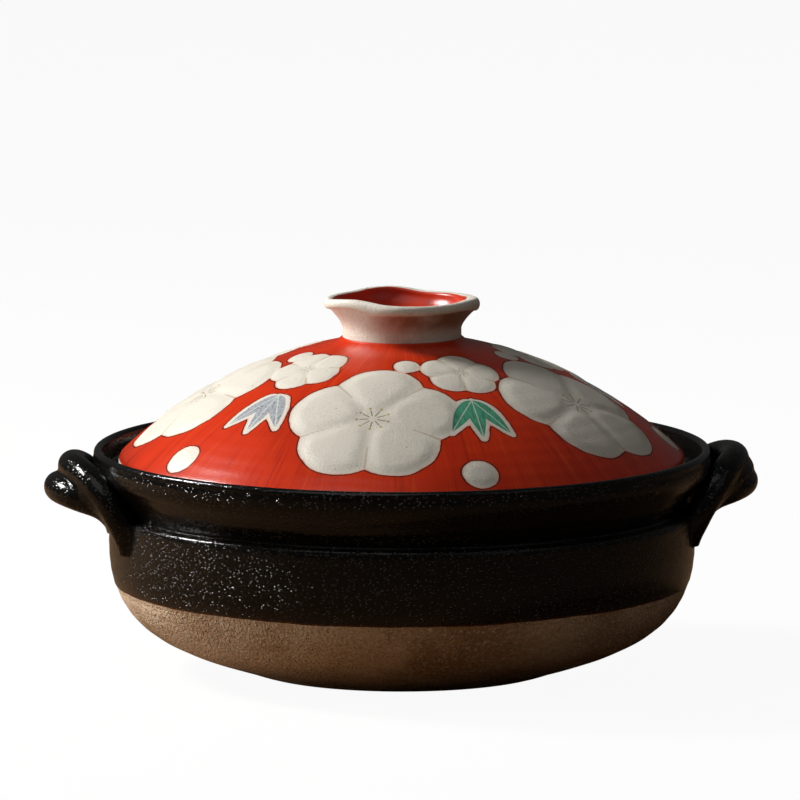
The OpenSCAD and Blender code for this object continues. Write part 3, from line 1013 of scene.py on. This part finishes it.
@dataclass
class Ear:
    """One ear handle: two rolls of clay, laid side by side and luted to the wall."""

    side: Side
    pot: PotBowl = field(default_factory=PotBowl)
    out: float = 23.0
    span: float = 59.0
    groove_z: float = 91.9
    root_z: float = 61.0
    root_sink: float = 2.2
    roll_d: float = 13.6
    root_d: float = 10.0
    lean: float = 34.0
    press: float = 1.9
    steps: int = 90
    section_sides: int = 40
    fill: float = 0.5
    groove_fill: float = 0.4
    end_taper: float = 0.18
    sandiness: float = 0.32
    slab_turn: float = 27.0
    slab_drop: float = 11.0
    slab_depths: tuple[float, float] = (0.6, 3.6)
    voxel: float = 0.85
    smoothing: int = 7

    def middle_line(self, t: np.ndarray) -> np.ndarray:
        """Gives the middle line of the pair of rolls for the ear on +X.

        Args:
            t: Shares of the way from one root, 0, to the other, 1.

        Returns:
            One row of x, y and z for each share, in millimetres.
        """
        h = np.abs(2 * t - 1)
        u = 1 - h
        half_span = self.span / 2
        root_out = math.sqrt((self.pot.radius - self.root_sink) ** 2 - half_span**2)
        lean = math.sin(math.radians(self.lean))
        crown = self.pot.collar_r + self.out - self.roll_d / 2 - (self.roll_d - self.press) / 2 * lean
        knee_x = root_out + 0.24 * (crown - root_out)
        knee_z = self.groove_z - 0.1 * (self.groove_z - self.root_z)
        guide = [
            (crown, 0, self.groove_z),
            (crown, 0.74 * half_span, self.groove_z),
            (knee_x, 1.16 * half_span, knee_z),
            (root_out, half_span, self.root_z),
        ]
        weights = np.stack([u**3, 3 * u * u * h, 3 * u * h * h, h**3], axis=1)
        line = weights @ np.array(guide)
        line[:, 1] *= np.where(t < 0.5, -1, 1)
        return line

    def roll(self, level: int, deeper: float) -> tuple[np.ndarray, np.ndarray]:
        """Gives the middle line and thickness of one roll.

        Args:
            level: 1 for the upper roll, -1 for the lower one, 0 for the clay smeared between them.
            deeper: How far the line moves towards the pot at the roots, as a share of the radius.

        Returns:
            Points in millimetres, and the roll's radius at each.
        """
        t = np.linspace(0, 1, self.steps + 1)
        step = 0.002
        along = self.middle_line(np.minimum(t + step, 1)) - self.middle_line(np.maximum(t - step, 0))
        along /= np.linalg.norm(along, axis=1)[:, None]
        half_way = np.abs(2 * t - 1)
        weight = smooth_step(0, 1, half_way)[:, None]
        tilt = math.radians(self.lean)
        leaning = np.array([-math.sin(tilt), 0, math.cos(tilt)])
        outward = np.stack([0 * t, np.where(t < 0.5, -1, 1), 0 * t], axis=1)
        raw = (1 - weight) * leaning + weight * outward
        across = raw - (raw * along).sum(1)[:, None] * along
        across /= np.linalg.norm(across, axis=1)[:, None]
        radius = (self.roll_d + (self.root_d - self.roll_d) * weight[:, 0]) / 2
        line = self.middle_line(t) + level * (radius - self.press / 2)[:, None] * across
        line += deeper * radius[:, None] * weight * np.cross(across, along)
        if level == 0:
            smeared = 0.98 - self.groove_fill
            radius = radius * (self.groove_fill + smeared * smooth_step(0.1, 0.5, half_way))
        return line, radius * (1 - self.end_taper * smooth_step(0.84, 1, half_way))

    def add_wall_patch(self, clay: bmesh.types.BMesh) -> None:
        """Adds a shallow slab just under the wall's skin, which the slip fillets grow from.

        Args:
            clay: The ear's raw clay.
        """
        turns = np.radians(np.linspace(-self.slab_turn, self.slab_turn, 30))
        heights = np.linspace(self.root_z - self.slab_drop, self.pot.neck_z - 1.5, 14)
        radii = self.pot.wall_radius(heights)
        points = []
        for depth in self.slab_depths:
            for z, r in zip(heights, radii):
                points += [((r - depth) * math.cos(a), (r - depth) * math.sin(a), z) for a in turns]
        columns = len(turns)
        rows = len(heights)
        layer = rows * columns
        faces = []
        for i in range(rows - 1):
            for k in range(i * columns, (i + 1) * columns - 1):
                faces.append((k, k + 1, k + columns + 1, k + columns))
                faces.append(tuple(layer + n for n in (k, k + columns, k + columns + 1, k + 1)))
        rim = list(range(columns))
        rim += [i * columns + columns - 1 for i in range(1, rows)]
        rim += [(rows - 1) * columns + j for j in range(columns - 2, -1, -1)]
        rim += [i * columns for i in range(rows - 2, 0, -1)]
        faces += [(b, a, a + layer, b + layer) for a, b in zip(rim, rim[1:] + rim[:1])]
        corners = [clay.verts.new([c * MM for c in p]) for p in points]
        for face in faces:
            clay.faces.new([corners[i] for i in face])

    def fuse(self, clay: bmesh.types.BMesh) -> Mesh:
        """Smooths the luted rolls and the wall's slip to one skin.

        Args:
            clay: The rolls and the slab as they were laid.

        Returns:
            The fused mesh.
        """
        raw = bpy.data.meshes.new("ear_raw")
        clay.to_mesh(raw)
        clay.free()
        holder = show(raw.name, raw)
        remesh = holder.modifiers.new("luted", "REMESH")
        remesh.mode = "VOXEL"
        remesh.voxel_size = self.voxel * MM
        wiped = holder.modifiers.new("wiped", "SMOOTH")
        wiped.factor = 0.5
        wiped.iterations = self.smoothing
        graph = bpy.context.evaluated_depsgraph_get()
        mesh = bpy.data.meshes.new_from_object(holder.evaluated_get(graph), depsgraph=graph)
        bpy.data.objects.remove(holder)
        return mesh

    def build(self, tree: RollTree, material: Material) -> None:
        """Builds and dresses the ear.

        Args:
            tree: The sweeping tree.
            material: The ear's glaze.
        """
        side = self.side.name.lower()
        values = {"Sides": self.section_sides, "Material": material}
        clay = bmesh.new()
        for level, deeper in ((1, 0), (-1, 0), (1, self.fill), (-1, self.fill), (0, 0), (0, self.fill)):
            line, radius = self.roll(level, deeper)
            clay.from_mesh(tree.run(f"{side}_roll", line, values, thickness=radius * MM))
        self.add_wall_patch(clay)
        bmesh.ops.recalc_face_normals(clay, faces=clay.faces)
        mesh = self.fuse(clay)
        mesh.materials.clear()
        mesh.materials.append(material)
        mesh.shade_smooth()
        points = rows_of(mesh)[0]
        if self.side is Side.LEFT:
            points[:, 0] *= -1
            mesh.flip_normals()
        move_points(mesh, points)
        store(mesh, "glaze_line", np.full(len(points), -1.0))
        store(mesh, "sandiness", np.full(len(points), self.sandiness))
        nodes = (f"{side}_handle_upper_roll", f"{side}_handle_lower_roll")
        add_piece(f"{side}_ear_of_two_rolls", mesh, "pot", "black_glaze", *nodes)


class Motif(Enum):
    """What is painted at a place on the lid."""

    BLOSSOM = "blossom"
    BUD = "bud"
    GREEN_LEAVES = "green leaves"
    GREY_LEAVES = "grey leaves"


@dataclass(frozen=True)
class Place:
    """A painted motif's place: direction, radius from the axis, size, and turn in degrees."""

    motif: Motif
    turn: float
    out: float
    size: float
    spin: float = 0.0


@dataclass
class Painting:
    """A plain scatter of plum blossoms, large near the rim and small above, with leaf sprigs."""

    repeats: int = 5
    first_turn: float = -107.0
    petals: int = 5
    low_out: float = 91.0
    high_out: float = 58.0
    low_size: float = 41.0
    high_size: float = 19.0
    sprig_out: float = 80.0
    leaf_margin: float = 1.9
    petal_rise: float = 0.75
    heart_size: float = 34.0

    def places(self) -> list[Place]:
        """Gives the motifs of the whole lid.

        Returns:
            Their places.
        """
        found = []
        step = 360 / self.repeats
        for i in range(self.repeats):
            turn = self.first_turn + step * i
            wander = 3.0 * math.sin(2.3 * i + 0.8)
            between = turn + step / 2
            leaves = Motif.GREY_LEAVES if i in (1, 4) else Motif.GREEN_LEAVES
            found += [
                Place(Motif.BLOSSOM, turn + wander, self.low_out, self.low_size, 54 + 9 * i),
                Place(Motif.BLOSSOM, between + wander, self.high_out, self.high_size, 21 * i),
                Place(leaves, between - wander, self.sprig_out, 1.0, 90 + 4 * wander),
                Place(Motif.BUD, turn + 0.18 * step, 50.0, 6.2),
                Place(Motif.BUD, between - 0.12 * step, 122.0, 8.5),
            ]
        return found


@dataclass
class Lid:
    """The thrown dome with its rounded rim, resting ring and steam hole."""

    knob_base_r: float = 28.8
    knob_z: float = 152.8
    rim_r: float = 131.5
    rest_z: float = 91.3
    rest_r: float = 124.3
    rim_round: float = 5.7
    rim_turn: float = 44.0
    wall: float = 6.5
    pool_r: float = 27.8
    pool_h: float = 2.7
    pool_w: float = 1.9
    steam_r: float = 3.0
    steam_out: float = 56.0
    steam_turn: float = 100.0
    steam_sides: int = 48
    rows: int = 100
    hand: Throwing = Throwing(560, 4.7, 0.05, 0.35, 8.0)
    painting: Painting = field(default_factory=Painting)
    finish: PaintedGlaze = field(default_factory=PaintedGlaze)

    def rim_middle(self) -> tuple[float, float]:
        """Returns the centre of the rounded rim's section."""
        return self.rim_r - self.rim_round, self.rest_z + self.rim_round

    def dome_guide(self, depth: float) -> Line:
        """Gives the guide points of the dome's curve, from the knob's foot out to the rim.

        Args:
            depth: How far under the skin, in millimetres.

        Returns:
            Start, two guide points and end.
        """
        middle = self.rim_middle()
        skin, end = (
            arc(middle, self.rim_round - deep, self.rim_turn, self.rim_turn, 0)[0] for deep in (0, depth)
        )
        reach = skin[0] - self.knob_base_r
        rise = self.knob_z - skin[1]
        return [
            (self.knob_base_r, self.knob_z - depth),
            (self.knob_base_r + 0.32 * reach, self.knob_z - 0.089 * rise - depth),
            (end[0] - 0.266 * reach, end[1] + 0.493 * rise),
            end,
        ]

    def dome(self) -> Line:
        """Returns the dome from the knob's foot out to the rounded rim."""
        line = curve(self.dome_guide(0.0), self.rows)
        return [(r, z + self.pool_h * math.exp((self.pool_r - r) / self.pool_w)) for r, z in line]

    def profile(self) -> Line:
        """Gives the closed profile of the lid.

        Returns:
            Radius and height of points from the middle of the top out and back underneath.
        """
        foot = self.pool_r
        crest = self.knob_z + self.pool_h
        ceiling = self.knob_z - self.wall
        top = [(r, self.knob_z - 0.3) for r in np.linspace(0, foot - 1.2, 4)]
        rise = [(foot - 0.9, crest - 1.6), (foot - 0.6, crest - 0.3), (foot, crest - 0.2)]
        rim = arc(self.rim_middle(), self.rim_round, self.rim_turn, -90, 14)[1:]
        rest = [(r, self.rest_z) for r in np.linspace(self.rim_middle()[0], self.rest_r, 3)[1:]]
        start = (self.rest_r - 0.75, self.rest_z + self.wall / 2)
        shallow = self.dome_guide(self.wall)[2]
        under = curve([start, shallow, (self.knob_base_r + 15.0, ceiling), (0.0, ceiling)], 30)
        return top + rise + self.dome() + rim + rest + under

    def slope_length(self, out: np.ndarray) -> np.ndarray:
        """Gives lengths down the dome from the axis.

        Args:
            out: Radii.

        Returns:
            The length to each.
        """
        line = np.array([(0.0, self.knob_z)] + self.dome())
        lengths = np.concatenate([[0], np.cumsum(np.hypot(*np.diff(line, axis=0).T))])
        return np.interp(out, line[:, 0], lengths)

    def local(self, place: Place, out: np.ndarray, turn: np.ndarray) -> np.ndarray:
        """Unrolls the dome round a painted place.

        Args:
            place: The painted place.
            out: Each point's radius from the axis.
            turn: Each point's direction in radians.

        Returns:
            Sideways and outward distance from the place, turned by its spin, in millimetres.
        """
        near = np.array([place.out - 1, place.out + 1])
        slope = 2 / float(np.diff(self.slope_length(near))[0])
        cone = place.out / slope
        away = turn_away(turn, math.radians(place.turn))
        reach = cone + self.slope_length(out) - float(self.slope_length(np.array(place.out)))
        side = reach * np.sin(away * slope)
        down = reach * np.cos(away * slope) - cone
        spin = math.radians(place.spin)
        first = side * math.cos(spin) + down * math.sin(spin)
        second = down * math.cos(spin) - side * math.sin(spin)
        return np.stack([first, second], axis=1)

    def blossom(self, place: Place, spot: np.ndarray) -> tuple[np.ndarray, np.ndarray, np.ndarray]:
        """Gives a blossom's outline, its petals' seams and its relief.

        Args:
            place: The blossom's place.
            spot: Points unrolled round it.

        Returns:
            Distance outside the blossom and distance from a seam in millimetres, and the swell.
        """
        size = place.size
        petal_r = 0.52 * size
        distances = []
        for turn in 2 * math.pi * np.arange(self.painting.petals) / self.painting.petals:
            centre = (size - petal_r) * np.array((math.cos(turn), math.sin(turn)))
            distances.append(np.hypot(*(spot - centre).T) - petal_r)
        nearest, next_nearest = np.sort(np.array(distances), axis=0)[:2]
        seam = (next_nearest - nearest) / 2
        length = np.hypot(*spot.T)
        swell = smooth_step(0, 0.17 * size, -nearest)
        swell *= 0.3 + 0.7 * smooth_step(0, 0.13 * size, seam)
        swell *= 0.45 + 0.55 * smooth_step(0.12 * size, 0.3 * size, length)
        seam += 3 * (1 - smooth_step(0.34 * size, 0.5 * size, length))
        return nearest, np.where(nearest < 0.5, seam, 9.0), swell * size / self.painting.low_size

    def sprig(self, spot: np.ndarray) -> np.ndarray:
        """Gives the outline of a sprig's three leaves and their cream margin.

        Args:
            spot: Points unrolled round it.

        Returns:
            Distance outside it, in millimetres.
        """
        long = self.finish.leaf_length
        fold = np.abs(spot[:, 1])
        nearest = np.full(len(spot), 60.0)
        for turn in (0.0, math.radians(self.finish.leaf_spread)):
            along = spot[:, 0] * math.cos(turn) + fold * math.sin(turn)
            across = np.abs(fold * math.cos(turn) - spot[:, 0] * math.sin(turn))
            share = np.clip(along / long, 0, 1)
            half = 2.6 * self.finish.leaf_width * np.sqrt(share) * (1 - share)
            beyond = np.abs(along - share * long)
            nearest = np.minimum(nearest, np.hypot(np.maximum(across - half, 0), beyond))
        return nearest - self.painting.leaf_margin

    def paint(self, mesh: Mesh) -> None:
        """Stores the painting's distances on the dome and raises its petals.

        Args:
            mesh: The lid's mesh.
        """
        points, facing = rows_of(mesh)
        out = np.hypot(points[:, 0], points[:, 1])
        turn = np.arctan2(points[:, 1], points[:, 0])
        dome = np.array(self.dome())
        top = points[:, 2] > np.interp(out, dome[:, 0], dome[:, 1]) - self.wall / 2
        top &= points[:, 2] > self.rest_z + 1.5
        edge = np.full(len(points), 60.0)
        seam = np.full(len(points), 9.0)
        rise = np.zeros(len(points))
        heart = np.zeros((len(points), 3))
        leaf = np.zeros((len(points), 3))
        for place in self.painting.places():
            spot = self.local(place, out, turn)
            length = np.hypot(*spot.T)
            if place.motif is Motif.BLOSSOM:
                distance, fold, swell = self.blossom(place, spot)
                rise = np.maximum(rise, swell)
                seam = np.minimum(seam, fold)
                near = length < 0.6 * place.size
                heart[near, :2] = spot[near] * self.painting.heart_size / place.size
                heart[length < 0.4 * place.size, 2] = 1
            elif place.motif is Motif.BUD:
                distance = length - place.size
                rise = np.maximum(rise, 0.5 * smooth_step(0, 0.6 * place.size, -distance))
            else:
                distance = self.sprig(spot)
                near = length < self.finish.leaf_length + 9
                leaf[near, :2] = spot[near]
                within = length < self.finish.leaf_length + 3
                leaf[within, 2] = 2 if place.motif is Motif.GREY_LEAVES else 1
            edge = np.minimum(edge, distance)
        for values, underneath in ((edge, -60.0), (seam, 9.0), (leaf, 0), (heart, 0), (rise, 0)):
            values[~top] = underneath
        bare = np.where(top, -2.0, smooth_step(self.rest_r - 5, self.rest_r - 2, out) * 3 - 2)
        bare -= 3 * smooth_step(self.rest_z + 2.5, self.rest_z + 4.5, points[:, 2])
        points += facing * (self.painting.petal_rise * rise)[:, None]
        move_points(mesh, points)
        store(mesh, "painting", np.stack([edge, seam, bare], axis=1))
        store(mesh, "heart", heart)
        store(mesh, "leaf", leaf)

    def pierce(self, mesh: Mesh) -> None:
        """Opens the steam hole through the dome, with its edges wiped round.

        Args:
            mesh: The lid's mesh.
        """
        turn = math.radians(self.steam_turn)
        middle = Vector((math.cos(turn), math.sin(turn))) * self.steam_out * MM
        shape = bmesh.new()
        shape.from_mesh(mesh)
        window = (self.steam_r + 3.4) * MM
        around = [f for f in shape.faces if (f.calc_center_median().xy - middle).length < window]
        heights = [f.calc_center_median().z for f in around]
        halfway = (min(heights) + max(heights)) / 2
        bmesh.ops.delete(shape, geom=around, context="FACES")
        open_edges = [e for e in shape.edges if e.is_boundary]
        upper = [e for e in open_edges if e.verts[0].co.z > halfway]
        lower = [e for e in open_edges if e.verts[0].co.z < halfway]
        levels = []
        for edges in (upper, lower):
            ends = np.array([e.verts[0].co for e in edges], float)
            flat = np.column_stack([ends[:, :2], np.ones(len(ends))])
            levels.append(np.linalg.lstsq(flat, ends[:, 2], rcond=None)[0])
        rings = []
        turns = np.linspace(0, 2 * math.pi, self.steam_sides, endpoint=False)
        steps = ((0, 1.3, 0.0), (0, 0.7, -0.12), (0, 0.25, -0.45), (0, 0.0, -1.1), (1, 0.0, 1.1))
        for level, wider, deeper in steps + ((1, 0.3, 0.4), (1, 0.9, 0.0)):
            ring = []
            for a in turns:
                x = middle.x + (self.steam_r + wider) * MM * math.cos(a)
                y = middle.y + (self.steam_r + wider) * MM * math.sin(a)
                ring.append(shape.verts.new((x, y, levels[level] @ (x, y, 1.0) + deeper * MM)))
            rings.append(ring)
        for first, second in zip(rings, rings[1:]):
            for corners in zip(first, first[1:] + first[:1], second[1:] + second[:1], second):
                shape.faces.new(corners)
        for edges, ring in ((upper, rings[0]), (lower, rings[-1])):
            loop = [shape.edges.get(pair) for pair in zip(ring, ring[1:] + ring[:1])]
            bmesh.ops.bridge_loops(shape, edges=edges + loop)
        bmesh.ops.recalc_face_normals(shape, faces=shape.faces)
        shape.to_mesh(mesh)
        shape.free()
        mesh.shade_smooth()

    def build(self, tree: TurningTree) -> None:
        """Builds and dresses the lid.

        Args:
            tree: The turning tree.
        """
        mesh = tree.turn("lid_dome_painted", self.profile(), self.hand, self.finish.build())
        self.pierce(mesh)
        self.paint(mesh)
        add_piece("lid_dome_painted", mesh, "lid", "red_glaze", "lid_dome")


@dataclass
class Knob:
    """The hollow knob, thrown as a small cup and pinched by hand to an uneven rim.

    Each row of the rim gives a direction in degrees, the outer and inner radius, the crest's
    height over the knob's foot, and how far the rolled lip hangs down.
    """

    base_z: float = 152.8
    base_r: float = 27.7
    neck_r: float = 27.5
    flare_z: float = 6.2
    lip_round: float = 2.1
    brow: float = 1.8
    floor_r: float = 15.0
    floor_z: float = 8.6
    # Direction of the lit side; away from it the cream is painted brown as shade.
    lit_turn: float = -165.0
    sides: int = 300
    rim: tuple[tuple[float, float, float, float, float], ...] = (
        (-186, 36.3, 31.4, 20.0, 5.0), (-170, 36.0, 31.2, 20.5, 4.6), (-153, 35.2, 30.6, 21.8, 4.4),
        (-138, 33.9, 29.2, 22.3, 5.0), (-124, 33.2, 28.4, 21.5, 6.4), (-110, 34.3, 29.2, 20.5, 5.2),
        (-97, 34.9, 30.0, 20.3, 4.6), (-80, 34.9, 30.2, 20.1, 4.4), (-62, 34.2, 29.6, 20.0, 4.3),
        (-45, 34.0, 28.8, 20.2, 4.2), (-28, 34.9, 28.2, 20.6, 5.0), (-8, 36.2, 28.2, 20.2, 6.2),
        (13, 35.4, 28.6, 19.9, 5.0), (40, 34.4, 29.4, 19.6, 4.6), (64, 34.6, 30.0, 19.3, 4.6),
        (84, 35.8, 31.2, 20.9, 4.6), (94, 36.1, 31.4, 21.3, 4.6), (114, 35.2, 30.8, 21.0, 4.6),
        (126, 34.6, 30.2, 20.2, 4.6), (146, 35.0, 30.4, 20.1, 4.6), (164, 35.9, 31.0, 20.1, 4.8),
    )

    def rim_shape(self) -> list[np.ndarray]:
        """Smooths the pinched places of the rim.

        Returns:
            Outer radius, inner radius, crest height and hang at each side of the mesh.
        """
        table = np.array(self.rim)
        turns = np.concatenate([table[:, 0] - 360, table[:, 0], table[:, 0] + 360])
        wanted = 360 * np.arange(self.sides) / self.sides
        offsets = np.arange(-9, 10)
        weights = np.exp(-((offsets * 360 / self.sides / 5.5) ** 2))
        weights /= weights.sum()
        smooth = []
        for column in table.T[1:]:
            raw = np.interp(wanted, turns, np.tile(column, 3))
            smooth.append(sum(w * np.roll(raw, o) for w, o in zip(weights, offsets)))
        return smooth

    def rows(self) -> list[tuple[np.ndarray, np.ndarray, float, float]]:
        """Gives the knob's rings from its foot over the lip to the hollow's floor.

        Returns:
            Radius, height, inwards distance and share of painted shade of each ring.
        """
        outer, inner, crest, hang = self.rim_shape()
        low = crest - hang
        edge = outer - self.lip_round
        brow_z = crest - self.brow
        rows = []
        for share in np.linspace(0, 1, 24):
            z = share * low
            flare = np.clip((z - self.flare_z) / (low - self.flare_z), 0, 1) ** 1.5
            foot = self.neck_r + (self.base_r - self.neck_r) * max(1 - 6 * share, 0)
            # Painted shade grows up the neck towards the overhanging lip.
            thin = float(smooth_step(0.1, 0.8, share))
            rows.append((foot + (edge - 0.6 - self.neck_r) * flare, z, -3.0, thin))
        for turn in np.radians(np.linspace(-75, 90, 16)):
            z = low + (hang / 2) * (1 + math.sin(turn))
            # The lip's underside carries half the painted shade.
            rows.append((edge + self.lip_round * math.cos(turn), z, -3.0, 0.5 * float(turn < -0.7)))
        for share in np.linspace(0, 1, 9)[1:]:
            turn = share * math.pi / 2
            z = crest - self.brow * (1 - math.cos(turn))
            rows.append((edge - (edge - inner) * math.sin(turn), z, 2.4 * share - 1.0, 0.0))
        for share in np.linspace(0, 1, 16)[1:]:
            radius = inner + (self.floor_r - inner) * share**1.6
            z = brow_z + (self.floor_z - brow_z) * math.sin(share * math.pi / 2)
            rows.append((radius, z, 3.0 + 8 * share, 0.0))
        for share in np.linspace(0, 1, 8)[1:-1]:
            rows.append((self.floor_r * (1 - share) + 0 * outer, self.floor_z + 0 * outer, 12.0, 0.0))
        return rows

    def build(self, material: Material) -> None:
        """Builds and dresses the knob, with its cream painted brown as shade away from its lit side.

        Args:
            material: The knob's glazes.
        """
        count = self.sides
        rows = self.rows()
        turns = 2 * math.pi * np.arange(count) / count
        away = np.abs(turn_away(turns, math.radians(self.lit_turn)))
        # Painted shade grows with the turn away from the lit side.
        turned_from_light = smooth_step(math.radians(5), math.radians(72), away)
        stacked = []
        marks = []
        for radius, z, inwards, thin in rows:
            stacked.append(np.stack([radius * np.cos(turns), radius * np.sin(turns), self.base_z + z], 1))
            marks.append(np.stack([inwards + 0 * turns, thin * turned_from_light, z + 0 * turns], 1))
        stacked.append(np.array([(0, 0, self.base_z), (0, 0, self.base_z + self.floor_z)], float))
        marks.append(np.array([(-3.0, 0, 0), (12.0, 0, self.floor_z)], float))
        base = len(rows) * count
        faces = []
        for start in range(0, base - count, count):
            for j in range(count):
                k = (j + 1) % count
                faces.append((start + j, start + k, start + count + k, start + count + j))
        for j in range(count):
            k = (j + 1) % count
            faces += [(k, j, base), (base - count + j, base - count + k, base + 1)]
        mesh = bpy.data.meshes.new("lid_knob_pinched")
        mesh.from_pydata([tuple(p) for p in np.concatenate(stacked) * MM], [], faces)
        mesh.shade_smooth()
        store(mesh, "knob", np.concatenate(marks))
        mesh.materials.append(material)
        add_piece("lid_knob_pinched", mesh, "lid", "cream_glaze", "lid_knob")


@dataclass(frozen=True)
class Lamp:
    """A soft square lamp: direction in degrees, distance and width in metres, power in watts."""

    name: str
    azimuth: float
    elevation: float
    reach: float
    size: float
    power: float
    mirrored: bool = True


@dataclass
class Studio:
    """The pale floor, the soft lamps and the camera at the photograph's angle."""

    azimuth: float = -6.5
    elevation: float = 8.16
    distance: float = 5000.0
    lens: float = 485.6
    aim: tuple[float, float, float] = (0.0, 0.0, 103.5)
    aim_up: float = 21.3
    aim_right: float = -0.93
    floor_reach: float = 6000.0
    floor_lit: str = "#75583A"
    floor_seen: str = "#F4F3F0"
    floor_glow: float = 0.94
    room_light: float = 0.05
    lamp_aim_z: float = 90.0
    lamps: tuple[Lamp, ...] = (
        Lamp("key_lamp", -112, 39, 1.6, 0.36, 32),
        Lamp("low_lamp", -102, 8, 1.6, 0.5, 11, mirrored=False),
        Lamp("front_lamp", -36, 60, 2.0, 1.5, 5),
        Lamp("fill_lamp", 40, 40, 2.2, 1.4, 1),
    )

    def direction(self, azimuth: float, elevation: float) -> Vector:
        """Gives a direction from the pot on the camera's own scale.

        Args:
            azimuth: Turn to the right from the front, in degrees.
            elevation: Height above the horizon, in degrees.

        Returns:
            The direction, of length 1.
        """
        turn = math.radians(azimuth)
        rise = math.radians(elevation)
        flat = Vector((math.sin(turn), -math.cos(turn), 0)) * math.cos(rise)
        return flat + Vector((0, 0, math.sin(rise)))

    def camera(self) -> None:
        """Makes the camera and puts it in use."""
        data = bpy.data.cameras.new("camera")
        data.lens = self.lens
        data.sensor_width = 36.0
        data.clip_start = 0.05
        data.clip_end = 50.0
        camera = show("camera", data)
        back = self.direction(self.azimuth, self.elevation)
        turned = (-back).to_track_quat("-Z", "Y")
        up = turned @ Vector((0, 1, 0))
        right = turned @ Vector((1, 0, 0))
        target = Vector(self.aim) + up * self.aim_up + right * self.aim_right
        camera.rotation_mode = "QUATERNION"
        camera.rotation_quaternion = turned
        camera.location = (target + back * self.distance) * MM
        bpy.context.scene.camera = camera

    def floor(self) -> None:
        """Makes the plain pale floor, which keeps the pot's shadow."""
        mesh = bpy.data.meshes.new("floor")
        far = self.floor_reach * MM
        corners = [(-far, -far, 0), (far, -far, 0), (far, far, 0), (-far, far, 0)]
        mesh.from_pydata(corners, [], [(0, 1, 2, 3)])
        show("floor", mesh)
        sheet = Sheet("plain_pale_floor")
        links = sheet.tree.links
        seen = sheet.add(Kind.RAYS, None, (), "Is Camera Ray")
        colour = sheet.coats(self.floor_lit, (seen, self.floor_seen))
        links.new(colour, sheet.shader.inputs["Base Color"])
        sheet.shader.inputs["Roughness"].default_value = 1.0
        share = sheet.add(Kind.MATH, "MULTIPLY", (seen, self.floor_glow))
        white = sheet.add(Kind.GLOW, None, {"Color": (1, 1, 1, 1), "Strength": 1.0})
        mixed = sheet.add(Kind.BOTH, None, (share, sheet.shader.outputs[0], white))
        links.new(mixed, sheet.tree.nodes["Material Output"].inputs["Surface"])
        mesh.materials.append(sheet.material)

    def world(self) -> None:
        """Makes the white surroundings, dimmer as a light than to the camera."""
        world = bpy.data.worlds.new("pale_room")
        world.use_nodes = True
        tree = world.node_tree
        background = tree.nodes["Background"]
        background.inputs["Color"].default_value = (1, 1, 1, 1)
        seen = add_node(tree, Kind.RAYS, None, (), "Is Camera Ray")
        level = add_node(tree, Kind.RANGE, None, (seen, 0.0, 1.0, self.room_light, 1.0))
        tree.links.new(level, background.inputs["Strength"])
        bpy.context.scene.world = world

    def build(self) -> None:
        """Builds the whole studio."""
        self.camera()
        self.floor()
        self.world()
        for lamp in self.lamps:
            data = bpy.data.lights.new(lamp.name, "AREA")
            data.shape = "SQUARE"
            data.size = lamp.size
            data.energy = lamp.power
            item = show(lamp.name, data)
            back = self.direction(lamp.azimuth, lamp.elevation)
            item.visible_glossy = lamp.mirrored
            item.location = Vector((0, 0, self.lamp_aim_z * MM)) + back * lamp.reach
            item.rotation_mode = "QUATERNION"
            item.rotation_quaternion = (-back).to_track_quat("-Z", "Y")
        bpy.context.scene.view_settings.view_transform = "Standard"


def main() -> None:
    """Builds the studio and the pot in order."""
    logging.basicConfig(level=logging.INFO)
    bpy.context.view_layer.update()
    Studio().build()
    turning = TurningTree()
    rolling = RollTree()
    stoneware = DippedStoneware().build()
    PotBowl().build(turning, stoneware)
    Ear(Side.LEFT).build(rolling, stoneware)
    Ear(Side.RIGHT, lean=22.0, groove_z=90.8, groove_fill=1.05).build(rolling, stoneware)
    Lid().build(turning)
    Knob().build(KnobGlaze().build())


if __name__ == "__main__":
    main()
